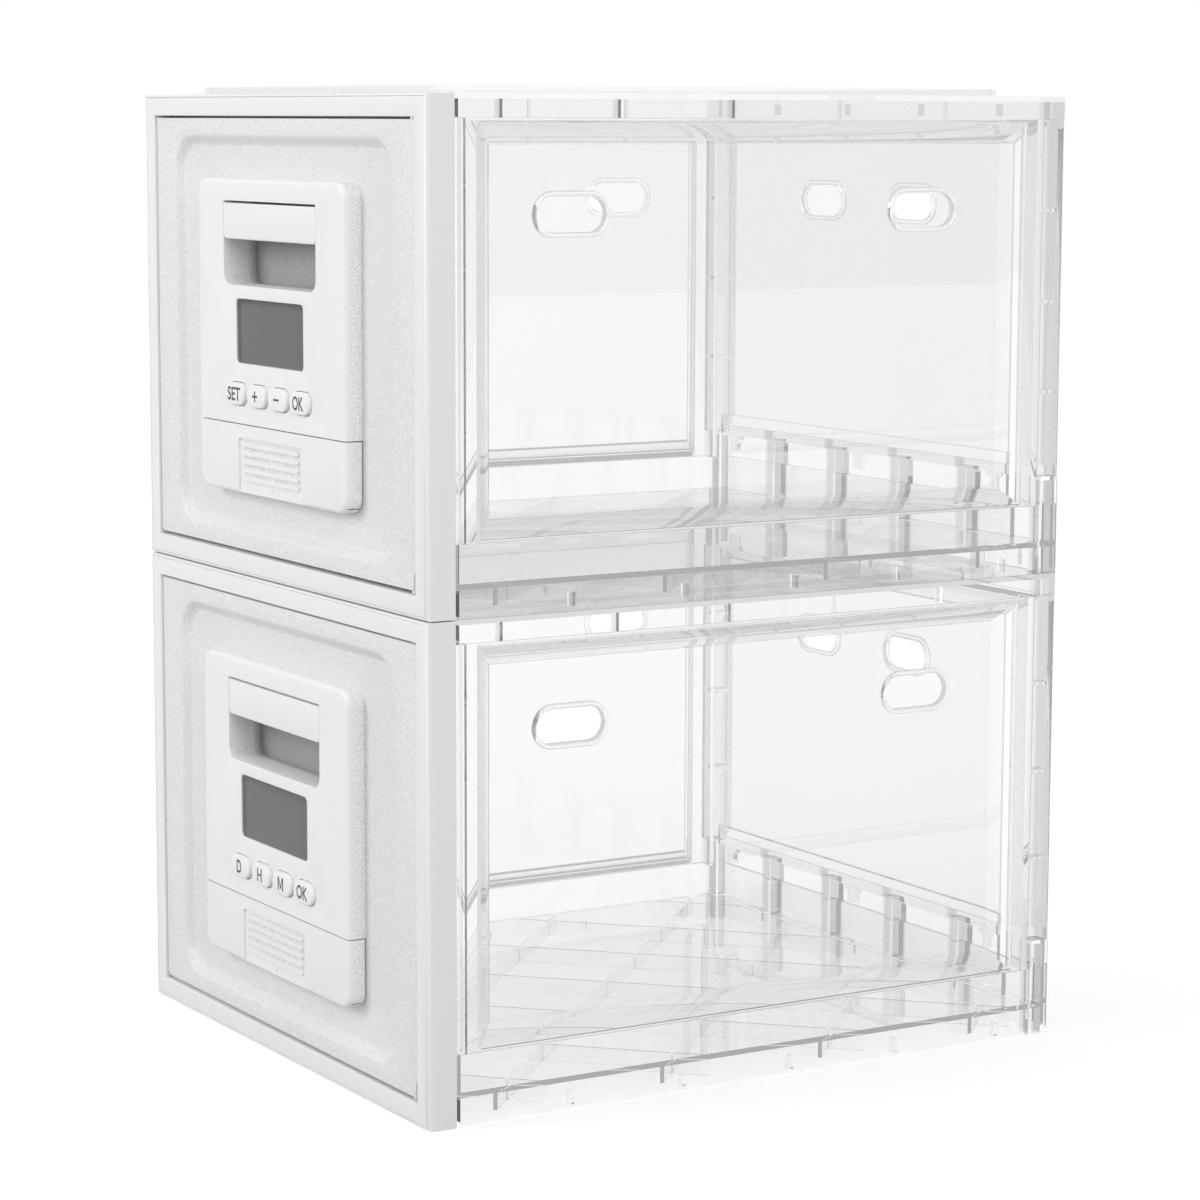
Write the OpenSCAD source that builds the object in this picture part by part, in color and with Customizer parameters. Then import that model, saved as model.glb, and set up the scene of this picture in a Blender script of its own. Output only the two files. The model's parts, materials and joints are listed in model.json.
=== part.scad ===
// Timed lock container: two stacked clear storage boxes, each with a lockable door.
// X is the width, the doors face -Y, Z is up. The origin is the middle of the
// footprint, on the surface that the stack stands on.

/* [Box] */
// Outer width of a box
box_w = 284; // [260:1:340]
// Depth of a box, from the frame's front to the rear wall
box_d = 332; // [300:1:420]
// Height of one box, which is also the stacking pitch
unit_h = 220; // [205:1:260]
// Thickness of the clear walls
wall_t = 2.5; // [1.8:0.1:3.2]
// Gap seen between the frames of two stacked boxes
tier_gap = 0.6; // [0.2:0.1:1.2]

/* [Front frame] */
// Depth of the white frame
frame_d = 13.5; // [12.5:0.5:18]
// Width of the frame's side bars
frame_side = 11; // [10:0.5:16]
// Height of the frame's top bar
frame_top = 9.7; // [8:0.1:14]
// Height of the frame's bottom bar
frame_bottom = 9.7; // [8:0.1:12]
// Rounding of the frame's outer edges
frame_round = 2.5; // [1:0.1:4]
// Height of the lip that the closed door stops against
lip_h = 4; // [2:0.5:6]
// Thickness of that lip
lip_t = 1.9; // [1.2:0.1:2.2]

/* [Clear body] */
// Height of the top cover's skirt
skirt_h = 10.4; // [8:0.1:14]
// Height of the base tray's side walls
base_h = 32; // [28:1:40]
// Height of the tray's floor above the unit's bottom
floor_z = 15; // [13:0.5:20]
// Height of the tray's rear wall
rear_wall_h = 50; // [44:1:60]
// Height of the hollow posts at the tray's rear corners
post_h = 45.5; // [40:0.5:50]
// Width of those posts along the side
post_d = 9.5; // [8:0.5:12]
// Depth of the recesses pressed into the panels
recess_d = 9; // [5:0.5:11]
// Margin from a side panel's ends to its recess
recess_margin = 12; // [10:1:20]
// Margin from the recess to a side panel's rear end
recess_rear_margin = 9.5; // [8:0.5:16]
// Margin from the recess to the top skirt
recess_top_gap = 2.2; // [1.5:0.1:6]
// Margin from the recess to the base tray
recess_low_gap = 1.2; // [0.8:0.1:4]
// Length of a hand slot
slot_l = 39; // [30:1:50]
// Height of a hand slot, over its bead
slot_h = 20; // [14:1:26]
// Width of the bead around a slot
bead_w = 2.4; // [1:0.2:4]
// Distance between the two hand slots of a side
slot_pitch = 184; // [120:2:200]
// Distance between the two slots of the back panel
back_slot_pitch = 76; // [60:2:120]
// Height of the slots above the unit's bottom
slot_z = 169; // [140:1:180]
// Rise of the stacking rim on the top cover
rim_h = 3.3; // [2:0.1:4]
// Distance of the rim from the outer walls
rim_inset = 18; // [16:0.5:40]
// Corner radius of the rim
rim_r = 15; // [6:0.5:30]
// Distance between the ribs under the top cover
rib_pitch = 57.8; // [40:0.1:70]
// Width of a rib on the rear wall
rib_w = 7; // [4:0.5:9]
// Distance between the upright ribs on the rear wall
rear_rib_pitch = 54.6; // [40:0.2:60]
// Thickness of the lattice under the floor
lattice_t = 1.5; // [1:0.1:2.5]
// Distance between the lattice's bars
lattice_pitch = 60; // [40:1:80]

/* [Door] */
// Gap between the door and the frame, at the sides and the top
door_gap = 1; // [0.8:0.1:1.5]
// Gap below the door
door_gap_low = 1.7; // [1:0.1:2.5]
// Distance of the door's face behind the frame's face
door_inset = 1; // [0:0.1:1.5]
// Depth of the door's rim
door_t = 10; // [9:0.1:10.1]
// Thickness of the door's skin
skin_t = 2.5; // [1.8:0.1:2.6]
// Width of the door's recess
dish_w = 212; // [190:1:220]
// Height of the door's recess
dish_h = 174; // [160:1:178]
// Depth of the door's recess
dish_d = 3.8; // [2:0.1:4]
// Corner radius of the recess
dish_r = 13; // [8:0.5:20]
// Diameter of a hinge pin
pin_d = 3; // [2.5:0.1:3.4]
// Running clearance around a pin
pin_play = 0.3; // [0.15:0.05:0.35]
// Distance of the hinge axis from the door's edge
hinge_edge = 6; // [5.5:0.1:7]
// Distance of the hinge axis behind the door's face
hinge_back = 3; // [2.8:0.1:3.2]
// Length of a hinge pin inside the door
pin_reach = 8; // [5:0.5:9]

/* [Lock module] */
// Width of the lock module
mod_w = 149; // [142:1:160]
// Height of the lock module
mod_h = 143; // [141:1:150]
// Rise of the module's face above the floor of the door's recess
mod_rise = 8.5; // [8:0.1:9.5]
// Corner radius of the module
mod_r = 7.5; // [6.5:0.5:10]
// Rounding around the module's face
mod_chamfer = 2; // [1:0.1:2.4]
// Thickness of the module's shell
shell_t = 2; // [1.6:0.1:2.2]
// Depth of the inner cover behind the door
rear_depth = 15.7; // [15.5:0.1:20]
// Distance from the module's top edge to the paddle
flap_down = 11; // [10:0.5:12]
// Width of the paddle
flap_w = 93; // [80:1:96]
// Height of the paddle
flap_h = 16.3; // [15:0.1:17]
// Thickness of the paddle's plate
flap_t = 3; // [2.5:0.1:3.2]
// Gap above the paddle, in which its top edge swings
flap_gap = 1; // [0.9:0.05:1.3]
// Running clearance of sliding and turning plastic pieces
play = 0.4; // [0.3:0.05:0.5]
// Height of the finger pocket below the paddle
pocket_h = 20.8; // [18:0.2:22]
// Depth of the finger pocket
pocket_d = 17; // [15:0.2:21]
// Distance of the paddle's pin behind the module's face
flap_pin_back = 3.4; // [3.3:0.1:3.6]
// Distance of the paddle's pin below the paddle's top edge
flap_pin_drop = 5; // [4.8:0.1:6]
// Diameter of the paddle's pin
flap_pin_d = 2; // [1.6:0.1:2.2]
// Width of the display's window
lcd_w = 68.5; // [60:0.5:72]
// Height of the display's window
lcd_h = 29.3; // [26:0.1:30]
// Distance from the module's top edge to the display
lcd_down = 54.1; // [54:0.1:55]
// Depth of the window pane behind the module's face
lcd_sink = 3; // [2.6:0.1:3.2]
// Thickness of the window pane
pane_t = 1.2; // [0.8:0.1:1.4]
// Thickness of the display behind the pane
panel_t = 3; // [2:0.1:3.1]
// Thickness of the circuit board
board_t = 1.6; // [1:0.1:1.8]

/* [Buttons] */
// Length of a button
key_l = 18.5; // [16:0.5:19]
// Height of a button
key_h = 10; // [8:0.5:10.5]
// Distance between two buttons
key_pitch = 21.9; // [21.5:0.1:23]
// Distance from the module's top edge to the buttons' middle
key_down = 97.4; // [97:0.1:98]
// Rise of the buttons above the module's face
key_rise = 2.2; // [1.5:0.1:2.6]
// Travel of a button
key_travel = 1.2; // [0.8:0.1:1.4]
// Gap around a button
key_play = 0.35; // [0.3:0.05:0.5]
// Width of the ledge that keeps a button in
key_ledge = 1.2; // [0.8:0.1:1.2]
// Thickness of the rubber mat under the buttons
mat_t = 0.9; // [0.6:0.1:1.1]

/* [Battery bay] */
// Height of the battery cover
cover_h = 32; // [31.4:0.1:32.4]
// Seam above the battery cover
cover_seam = 0.5; // [0.3:0.1:0.8]
// Diameter of a cell
cell_d = 10.5; // [10:0.1:10.6]
// Length of a cell
cell_l = 44.5; // [43:0.5:45]
// Width of the ribbed grip on the cover
grip_w = 66; // [50:1:80]
// Height of the grip
grip_h = 25.5; // [20:0.5:27]
// Depth of the grip's field
grip_d = 0.8; // [0.5:0.1:1]
// Number of ribs on the battery cover's grip
grip_ribs = 5; // [3:1:6]

/* [Lock] */
// Distance from the module's top edge to the bolt's middle
bolt_down = 70; // [64:1:80]
// Height of the bolt's bar
bolt_h = 8; // [6:0.5:10]
// Thickness of the bolt's bar
bolt_t = 3; // [2.5:0.1:3]
// Running clearance around the bolt
bolt_play = 0.3; // [0.2:0.05:0.4]
// Travel of the bolt
bolt_travel = 6; // [4:0.5:6.5]
// Diameter of the lock motor
motor_d = 12; // [8:0.5:12]
// Length of the lock motor
motor_l = 25; // [18:1:30]
// Diameter of the screws that hold the inner cover
screw_d = 2.6; // [2:0.1:3]

/* [Hidden] */
$fn = 48;
eps = 0.01;
dish_front = dish_d + door_inset;
mod_face = dish_front - mod_rise;
key_face = mod_face - key_rise;
frame_z0 = tier_gap / 2;
frame_z1 = unit_h - tier_gap / 2;
open_x = box_w / 2 - frame_side;
open_z0 = frame_z0 + frame_bottom;
open_z1 = frame_z1 - frame_top;
body_y0 = frame_d;
skirt_z = unit_h - skirt_h;
side_out = box_w / 2;
side_in = side_out - wall_t;
side_end = box_d - post_d - wall_t;
door_x = open_x - door_gap;
door_z0 = open_z0 + door_gap_low;
door_z1 = open_z1 - door_gap;
door_mid = (door_z0 + door_z1) / 2;
door_back = door_inset + door_t;
hinge_x = door_x - hinge_edge;
hinge_y = door_inset + hinge_back;
dish_back = dish_front + skin_t;
mod_z1 = door_mid + mod_h / 2;
mod_z0 = door_mid - mod_h / 2;
mod_skin = mod_face + shell_t;
neck_w = mod_w - 2 * 3.8;
neck_h = mod_h - 2 * 3.8;
flap_z1 = mod_z1 - flap_down;
flap_z0 = flap_z1 - flap_h;
pocket_z0 = flap_z0 - pocket_h;
pocket_x = flap_w / 2 + play;
pocket_r = 5.6;
pocket_back = mod_face + pocket_d;
flap_pin_y = mod_face + flap_pin_back;
flap_pin_z = flap_z1 - flap_pin_drop;
lcd_z = mod_z1 - lcd_down - lcd_h / 2;
lcd_margin = 2.8;
pane_y = mod_face + lcd_sink;
panel_y = pane_y + pane_t;
board_y = panel_y + panel_t + play;
board_top = lcd_z + lcd_h / 2 + lcd_margin - 0.2;
key_z = mod_z1 - key_down;
board_low = key_z - key_h / 2 - 6.6;
board_x = mod_w / 2 - 13.5;
mat_y = board_y - mat_t;
cover_z1 = mod_z0 + cover_h - cover_seam;
bay_x = cell_l + 1;
bay_t = 1.5;
bay_pitch = cell_d + 1;
bay_z = mod_z0 + cover_h / 2 + 1.2;
bay_half = bay_pitch / 2 + cell_d / 2 + 0.8;
rail_y = mod_skin + 2.2;
rail_t = 2;
cell_y = rail_y + cell_d / 2;
bay_floor = cell_y + cell_d / 2 + 0.2;
bolt_z = mod_z1 - bolt_down;
bolt_y = dish_back + bolt_play;
bolt_tip = door_x - 1;
bolt_root = mod_w / 2 - 16.5;
motor_x1 = -14;
motor_x0 = motor_x1 - motor_l;
shaft_d = 2.8;
rear_y1 = dish_back + rear_depth;
motor_y = rear_y1 - shell_t - motor_d / 2 - 0.3;
screw_x = mod_w / 2 - 8.5;
screw_up = mod_z1 - mod_r - 0.5;
screw_low = board_low + 3;
boss_d = 6.6;
strike_t = 1;
slots_y = (body_y0 + side_end) / 2;
sink_floor_x = side_out - recess_margin - recess_d;
front_y = key_face;
shift_y = -(box_d + front_y) / 2;

// Puts a unit's piece in its tier: 0 is the lower box, 1 the upper one.
module tier(n) {
    translate([0, shift_y, n * unit_h]) children();
}

// Extrudes an outline drawn in X and Z along Y.
module along_y(y0, y1) {
    rotate([90, 0, 0]) translate([0, 0, -y1]) linear_extrude(y1 - y0) children();
}

// Extrudes an outline drawn in Y and Z along X.
module along_x(x0, x1) {
    translate([x0, 0, 0]) rotate([90, 0, 90]) linear_extrude(x1 - x0) children();
}

module rounded(w, h, r) {
    square([w - 2 * r, h], center = true);
    square([w, h - 2 * r], center = true);
    for (sx = [-1, 1], sz = [-1, 1])
        translate([sx * (w / 2 - r), sz * (h / 2 - r)]) circle(r);
}

module pill(l, h) {
    square([l - h, h], center = true);
    for (s = [-1, 1]) translate([s * (l - h) / 2, 0]) circle(h / 2);
}

// A block from one corner to the opposite one.
module block(a, b) {
    translate(a) cube([b[0] - a[0], b[1] - a[1], b[2] - a[2]]);
}

// Solid that sinks from the face x = side_out by depth with 45 degree walls.
module side_sink(y0, y1, z0, z1, depth) {
    intersection() {
        translate([0, 0, z0]) linear_extrude(z1 - z0) polygon([
            [side_out + eps, y0 - eps], [side_out + eps, y1 + eps],
            [side_out - depth, y1 - depth], [side_out - depth, y0 + depth]]);
        along_y(y0, y1) polygon([
            [side_out + eps, z0 - eps], [side_out + eps, z1 + eps],
            [side_out - depth, z1 - depth], [side_out - depth, z0 + depth]]);
    }
}

// The same sink in the rear face y = box_d, between -x1 and x1.
module rear_sink(x1, z0, z1, depth) {
    intersection() {
        translate([0, 0, z0]) linear_extrude(z1 - z0) polygon([
            [-x1 - eps, box_d + eps], [x1 + eps, box_d + eps],
            [x1 - depth, box_d - depth], [depth - x1, box_d - depth]]);
        along_x(-x1, x1) polygon([
            [box_d + eps, z0 - eps], [box_d + eps, z1 + eps],
            [box_d - depth, z1 - depth], [box_d - depth, z0 + depth]]);
    }
}

// The frame's outline seen from above, with its front corners rounded.
module frame_plan() {
    r = frame_round;
    translate([-side_out + r, 0]) square([2 * (side_out - r), frame_d]);
    translate([-side_out, r]) square([2 * side_out, frame_d - r]);
    for (s = [-1, 1]) translate([s * (side_out - r), r]) circle(r);
}

// The frame's outline seen from the side, in Y and Z.
module frame_profile() {
    r = frame_round / 2;
    translate([0, frame_z0 + r]) square([frame_d, frame_z1 - frame_z0 - 2 * r]);
    translate([r, frame_z0]) square([frame_d - r, frame_z1 - frame_z0]);
    for (z = [frame_z0 + r, frame_z1 - r]) translate([r, z]) circle(r);
}

module front_frame() {
    pin_hole = 6;
    color("white") difference() {
        intersection() {
            translate([0, 0, frame_z0]) linear_extrude(frame_z1 - frame_z0) frame_plan();
            along_x(-side_out, side_out) frame_profile();
        }
        block([-open_x, -1, open_z0], [open_x, frame_d - lip_t, open_z1]);
        block([lip_h - open_x, -1, open_z0 + lip_h], [open_x, frame_d + 1, open_z1 - lip_h]);
        block([open_x - 2 * frame_side, -1, open_z0], [open_x, frame_d + 1, open_z1]);
        for (z = [open_z0 - pin_hole, open_z1 - 1])
            translate([hinge_x, hinge_y, z]) cylinder(d = pin_d + 0.1, h = pin_hole + 1);
        strike_shape(-eps);
        block([-open_x - bolt_travel - 2, bolt_y - 0.7, bolt_z - bolt_h / 2 - 1],
            [-open_x + 1, bolt_y + bolt_t + 0.5, bolt_z + bolt_h / 2 + 1]);
    }
}

// The strike plate's block, with its face moved by extra into the door's gap.
module strike_shape(extra) {
    block([-open_x - strike_t, bolt_y - 3, bolt_z - bolt_h],
        [-open_x - extra, bolt_y + bolt_t + 0.5, bolt_z + bolt_h]);
}

module strike_plate() {
    color("silver") difference() {
        strike_shape(0);
        block([-open_x - 2 * strike_t, bolt_y - bolt_play, bolt_z - bolt_h / 2 - bolt_play],
            [-open_x + 1, bolt_y + bolt_t + bolt_play, bolt_z + bolt_h / 2 + bolt_play]);
    }
}

module hinge_pins() {
    seat = 6;
    color("lightgray") {
        translate([hinge_x, hinge_y, open_z0 - seat])
            cylinder(d = pin_d, h = seat + door_gap_low + pin_reach);
        translate([hinge_x, hinge_y, door_z1 - pin_reach])
            cylinder(d = pin_d, h = pin_reach + door_gap + seat);
    }
}

// Crossing bars under the tray's floor, clipped to the inside of its walls.
module lattice() {
    z0 = rim_h + 1.7;
    reach = box_w + box_d;
    count = floor(reach / lattice_pitch / 2);
    intersection() {
        block([-side_in - eps, body_y0 + wall_t - eps, z0],
            [side_in + eps, box_d - wall_t + eps, floor_z - wall_t + eps]);
        for (a = [-45, 45], k = [-count:count])
            translate([0, (body_y0 + box_d) / 2, z0]) rotate(a)
                translate([k * lattice_pitch - lattice_t / 2, -reach / 2, 0])
                    cube([lattice_t, reach, floor_z]);
    }
}

module base_tray() {
    rear_in = box_d - recess_d;
    rib_h = rear_wall_h - 4;
    foot_rib = 1.5;
    color("ghostwhite") difference() {
        union() {
            difference() {
                block([-side_out, body_y0, 0], [side_out, box_d, base_h]);
                block([-side_in, body_y0 + wall_t, -1], [side_in, box_d - wall_t, base_h + 1]);
            }
            block([-side_in - eps, body_y0 + 1, floor_z - wall_t], [side_in + eps, box_d - 1, floor_z]);
            block([-sink_floor_x, rear_in - wall_t, floor_z - eps], [sink_floor_x, rear_in, rear_wall_h]);
            for (k = [-1.5:1.5])
                block([k * rear_rib_pitch - rib_w / 2, rear_in - eps, floor_z - eps],
                    [k * rear_rib_pitch + rib_w / 2, box_d - 1, rib_h]);
            for (s = [-1, 1]) {
                mirror([s < 0 ? 1 : 0, 0, 0]) corner_post();
                for (y = [body_y0 + rib_pitch : rib_pitch : side_end - rib_w])
                    block([s * (side_in - 2) - 2.2, y, 2], [s * (side_in - 2) + 2.2, y + foot_rib, 8]);
            }
            lattice();
        }
        for (s = [-1, 1])
            block([s * side_out - wall_t - 1, side_end + 0.7, 8],
                [s * side_out + wall_t + 1, box_d - post_d, post_h + 1]);
    }
}

// Hollow post at the tray's right rear corner, which the back panel's corner stands on.
module corner_post() {
    y0 = box_d - post_d;
    difference() {
        block([side_out - post_d, y0, 0], [side_out, box_d, post_h]);
        block([side_out - post_d + 2, y0 + 2, -1], [side_out - 2, box_d - 2, post_h - 2]);
    }
}

module top_cover() {
    rim_t = 2.2;
    rib_t = 1.5;
    tab_w = 10;
    tab_pitch = 62;
    mid_y = box_d / 2;
    color("ghostwhite") {
        difference() {
            block([-side_out, body_y0, skirt_z], [side_out, box_d, unit_h]);
            block([-side_in, body_y0 + wall_t, skirt_z - 1], [side_in, box_d - wall_t, unit_h - wall_t]);
        }
        for (s = [-1, 1], y = [body_y0 + 22 : rib_pitch : box_d - wall_t - 2 * rib_t])
            block([s * (side_in - 2) - 2.2, y, skirt_z], [s * (side_in - 2) + 2.2, y + rib_t, unit_h - 1]);
        for (k = [-1.5:1.5])
            block([k * tab_pitch - tab_w / 2, box_d - wall_t - 4, skirt_z + 1.5],
                [k * tab_pitch + tab_w / 2, box_d - 1, skirt_z + 7]);
        translate([0, mid_y, unit_h - eps]) linear_extrude(rim_h + eps) difference() {
            rounded(box_w - 2 * rim_inset, box_d - 2 * rim_inset, rim_r);
            rounded(box_w - 2 * (rim_inset + rim_t), box_d - 2 * (rim_inset + rim_t), rim_r - rim_t);
        }
    }
}

// Right side panel: a flush plate with a recess pressed in and two hand slots.
module side_panel() {
    y0 = body_y0 + recess_margin;
    y1 = side_end - recess_rear_margin;
    z0 = base_h + recess_low_gap;
    z1 = skirt_z - recess_top_gap;
    grow = wall_t * sqrt(2);
    flange = 8;
    bead = 1.5;
    x_floor = side_out - recess_d;
    color("ghostwhite") difference() {
        union() {
            difference() {
                intersection() {
                    block([0, body_y0, base_h], [side_out, side_end, skirt_z]);
                    union() {
                        block([side_in, body_y0, base_h], [side_out, side_end, skirt_z]);
                        side_sink(y0 - grow, y1 + grow, z0 - grow, z1 + grow, recess_d + wall_t);
                        block([side_in - flange, side_end - wall_t, base_h],
                            [side_in + eps, side_end, skirt_z]);
                        block([side_in - 3, body_y0 + 4, base_h], [side_in + eps, body_y0 + 6, skirt_z]);
                    }
                }
                side_sink(y0, y1, z0, z1, recess_d);
            }
            for (s = [-1, 1]) along_x(x_floor - eps, x_floor + bead)
                translate([slots_y + s * slot_pitch / 2, slot_z]) pill(slot_l, slot_h);
        }
        for (s = [-1, 1]) along_x(x_floor - 2 * wall_t, side_out + 1)
            translate([slots_y + s * slot_pitch / 2, slot_z])
                pill(slot_l - 2 * bead_w, slot_h - 2 * bead_w);
    }
}

module back_panel() {
    sink_x = side_out - recess_margin;
    z1 = skirt_z - recess_top_gap;
    grow = wall_t * sqrt(2);
    y_floor = box_d - recess_d;
    low = rear_wall_h - 30;
    bead = 1.5;
    tick_pitch = 41.7;
    hook_pitch = 112;
    rail_x = sink_floor_x + 3;
    rail_low = rear_wall_h - 4.6;
    color("ghostwhite") {
        difference() {
            union() {
                difference() {
                    intersection() {
                        block([-side_out, y_floor - wall_t, post_h], [side_out, box_d, skirt_z]);
                        union() {
                            block([-side_out, box_d - wall_t, post_h], [side_out, box_d, skirt_z]);
                            rear_sink(sink_x + grow, low, z1 + grow, recess_d + wall_t);
                            for (s = [-1, 1])
                                block([s * (side_out - wall_t / 2) - wall_t / 2, side_end + 0.4, post_h],
                                    [s * (side_out - wall_t / 2) + wall_t / 2, box_d, skirt_z]);
                        }
                    }
                    rear_sink(sink_x, low, z1, recess_d);
                }
                for (s = [-1, 1]) along_y(y_floor - eps, y_floor + bead)
                    translate([s * back_slot_pitch / 2, slot_z]) pill(slot_l, slot_h);
            }
            block([-sink_x - grow, 0, 0], [sink_x + grow, box_d + 1, rear_wall_h]);
            for (s = [-1, 1]) along_y(y_floor - 2 * wall_t, box_d + 1)
                translate([s * back_slot_pitch / 2, slot_z])
                    pill(slot_l - 2 * bead_w, slot_h - 2 * bead_w);
        }
        for (s = [-1, 1], k = [0:2])
            block([s * (side_in - 3) - 3.2, box_d - post_d, 84 + k * tick_pitch],
                [s * (side_in - 3) + 3.2, box_d - 1, 85.5 + k * tick_pitch]);
        block([-rail_x, y_floor - 2 * wall_t, rail_low], [rail_x, y_floor - wall_t, rear_wall_h + 5.5]);
        block([-rail_x, y_floor - 2 * wall_t, rear_wall_h + 0.3],
            [rail_x, y_floor - wall_t + eps, rear_wall_h + 5]);
        for (k = [-1:1]) translate([k * hook_pitch, 0, rail_low]) {
            block([-3.5, y_floor - 2 * wall_t, -8], [3.5, y_floor - wall_t, eps]);
            block([-6, y_floor - 2 * wall_t, -2], [6, y_floor - wall_t, eps]);
        }
    }
}

// The door's outline, with its lower free corner rounded.
module door_outline() {
    r = 2.5;
    difference() {
        translate([-door_x, door_z0]) square([2 * door_x, door_z1 - door_z0]);
        translate([-door_x - 1, door_z0 - 1]) square(r + 1);
    }
    translate([r - door_x, door_z0 + r]) circle(r);
}

module door_panel() {
    slope = 0.7 * dish_d;
    rib_t = 1.5;
    block_w = door_x - hinge_x + 5;
    block_h = pin_reach + 3;
    notch_h = 7;
    color("whitesmoke") difference() {
        union() {
            along_y(door_inset, door_inset + skin_t) door_outline();
            along_y(door_inset, door_back) difference() {
                door_outline();
                translate([0, door_mid])
                    square([2 * (door_x - skin_t), door_z1 - door_z0 - 2 * skin_t], center = true);
            }
            along_y(door_inset, dish_back) translate([0, door_mid])
                rounded(dish_w + 2 * skin_t, dish_h + 2 * skin_t, dish_r + skin_t);
            for (z = [door_z0, door_z1 - block_h])
                block([door_x - block_w, door_inset, z], [door_x, door_back, z + block_h]);
            for (s = [-1, 1], z = [-70, -35, 35, 70])
                block([s * (door_x + dish_w / 2) / 2 - 11, door_inset + 1, door_mid + z],
                    [s * (door_x + dish_w / 2) / 2 + 11, door_back - 1, door_mid + z + rib_t]);
            for (s = [-1, 1], x = [-90:45:90])
                block([x, door_inset + 1, door_mid + s * (dish_h / 2 + 5.5) - 5],
                    [x + rib_t, door_back - 1, door_mid + s * (dish_h / 2 + 5.5) + 5]);
        }
        translate([0, 0, door_mid]) {
            hull() {
                along_y(door_inset - 1, door_inset) rounded(dish_w, dish_h, dish_r, $fn = 64);
                along_y(dish_front - eps, dish_front)
                    rounded(dish_w - 2 * slope, dish_h - 2 * slope, dish_r - slope, $fn = 64);
            }
            along_y(0, door_back) rounded(neck_w + 2 * play, neck_h + 2 * play, mod_r - 3);
        }
        translate([hinge_x, hinge_y, door_z0 - 1]) cylinder(d = pin_d + 2 * pin_play, h = pin_reach + 1.5);
        translate([hinge_x, hinge_y, door_z1 - pin_reach - 0.5])
            cylinder(d = pin_d + 2 * pin_play, h = pin_reach + 1.5);
        block([door_x - 1.8, 0, door_z0 - 1], [door_x + 1, door_back + 1, door_z0 + notch_h]);
        block([-door_x - 1, bolt_y - bolt_play, bolt_z - bolt_h / 2 - bolt_play],
            [1 + skin_t - door_x, bolt_y + bolt_t + bolt_play, bolt_z + bolt_h / 2 + bolt_play]);
    }
}

module module_outline(inset) {
    rounded(mod_w - 2 * inset, mod_h - 2 * inset, mod_r - inset);
}

// The module's outer block, rounded around its face, down to the depth y1.
module module_block(y1) {
    translate([0, 0, door_mid]) {
        hull() {
            for (a = [0, 30, 60]) along_y(mod_face + mod_chamfer * (1 - cos(a)),
                mod_face + mod_chamfer * (1 - cos(a)) + eps) module_outline(mod_chamfer * (1 - sin(a)));
            along_y(mod_face + mod_chamfer - eps, mod_face + mod_chamfer) module_outline(0);
        }
        along_y(mod_face + mod_chamfer - eps, y1) module_outline(0);
    }
}

// Outline of the finger pocket with the paddle's opening above it.
module pocket_outline(grow) {
    r = pocket_r + grow;
    half = pocket_x + grow;
    low = pocket_z0 - grow;
    translate([-half, low + r]) square([2 * half, flap_z1 + flap_gap + grow - low - r]);
    translate([r - half, low]) square([2 * (half - r), r + eps]);
    for (s = [-1, 1]) translate([s * (half - r), low + r]) circle(r);
}

module control_housing() {
    seam_z = mod_z0 + cover_h;
    bay_low = bay_z - bay_half - bay_t;
    post = 5;
    color("white") difference() {
        union() {
            difference() {
                union() {
                    difference() {
                        module_block(dish_front);
                        translate([0, 0, door_mid]) along_y(mod_skin, dish_front - shell_t)
                            module_outline(shell_t);
                    }
                    translate([0, 0, door_mid]) along_y(dish_front - eps, dish_back)
                        rounded(neck_w, neck_h, mod_r - 3);
                }
                translate([0, 0, door_mid]) along_y(mod_skin + 1, dish_back + 1)
                    rounded(neck_w - 2 * shell_t, neck_h - 2 * shell_t, mod_r - 4);
                block([-mod_w, mod_face - 1, mod_z0 - 1], [mod_w, dish_back + 1, seam_z]);
            }
            block([shell_t - mod_w / 2 - eps, mod_skin - eps, seam_z],
                [mod_w / 2 - shell_t + eps, dish_front, seam_z + shell_t]);
            along_y(mod_skin - eps, pocket_back + shell_t) pocket_outline(shell_t);
            translate([0, 0, lcd_z]) along_y(mod_skin - eps, pane_y)
                rounded(lcd_w + 2 * lcd_margin, lcd_h + 2 * lcd_margin, 3);
            for (s = [-1, 1]) {
                for (z = [screw_up, screw_low]) translate([s * screw_x, mod_skin - eps, z])
                    rotate([-90, 0, 0]) cylinder(d = boss_d, h = rear_y1 - shell_t - mod_skin + eps);
                for (z = [board_top - post, board_low + post])
                    translate([s * (board_x - post), mod_skin - eps, z])
                        rotate([-90, 0, 0]) cylinder(d = post, h = board_y - mod_skin + eps);
            }
            block([shell_t + play - mod_w / 2, rail_y, bay_low],
                [mod_w / 2 - shell_t - play, rail_y + rail_t, seam_z + eps]);
            block([-bay_x - bay_t, rail_y, bay_low],
                [bay_x + bay_t, bay_floor + bay_t, bay_z + bay_half + bay_t]);
        }
        along_y(mod_face - 1, pocket_back) pocket_outline(0);
        translate([0, 0, lcd_z]) along_y(mod_face - 1, pane_y + 1) rounded(lcd_w, lcd_h, 2.5);
        for (n = [0:3]) key_place(n) along_y(mod_face - 1, mod_skin + 0.5)
            pill(key_l + 2 * key_play, key_h + 2 * key_play);
        block([-bay_x, rail_y - 1, bay_z - bay_half], [bay_x, bay_floor, bay_z + bay_half]);
        translate([-pocket_x - shell_t - 1, flap_pin_y, flap_pin_z]) rotate([0, 90, 0])
            cylinder(d = flap_pin_d + 0.1, h = 2 * (pocket_x + shell_t + 1));
        for (s = [-1, 1], z = [screw_up, screw_low])
            translate([s * screw_x, rear_y1 - shell_t - 12, z])
                rotate([-90, 0, 0]) cylinder(d = screw_d + 0.4, h = 13);
    }
}

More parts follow.
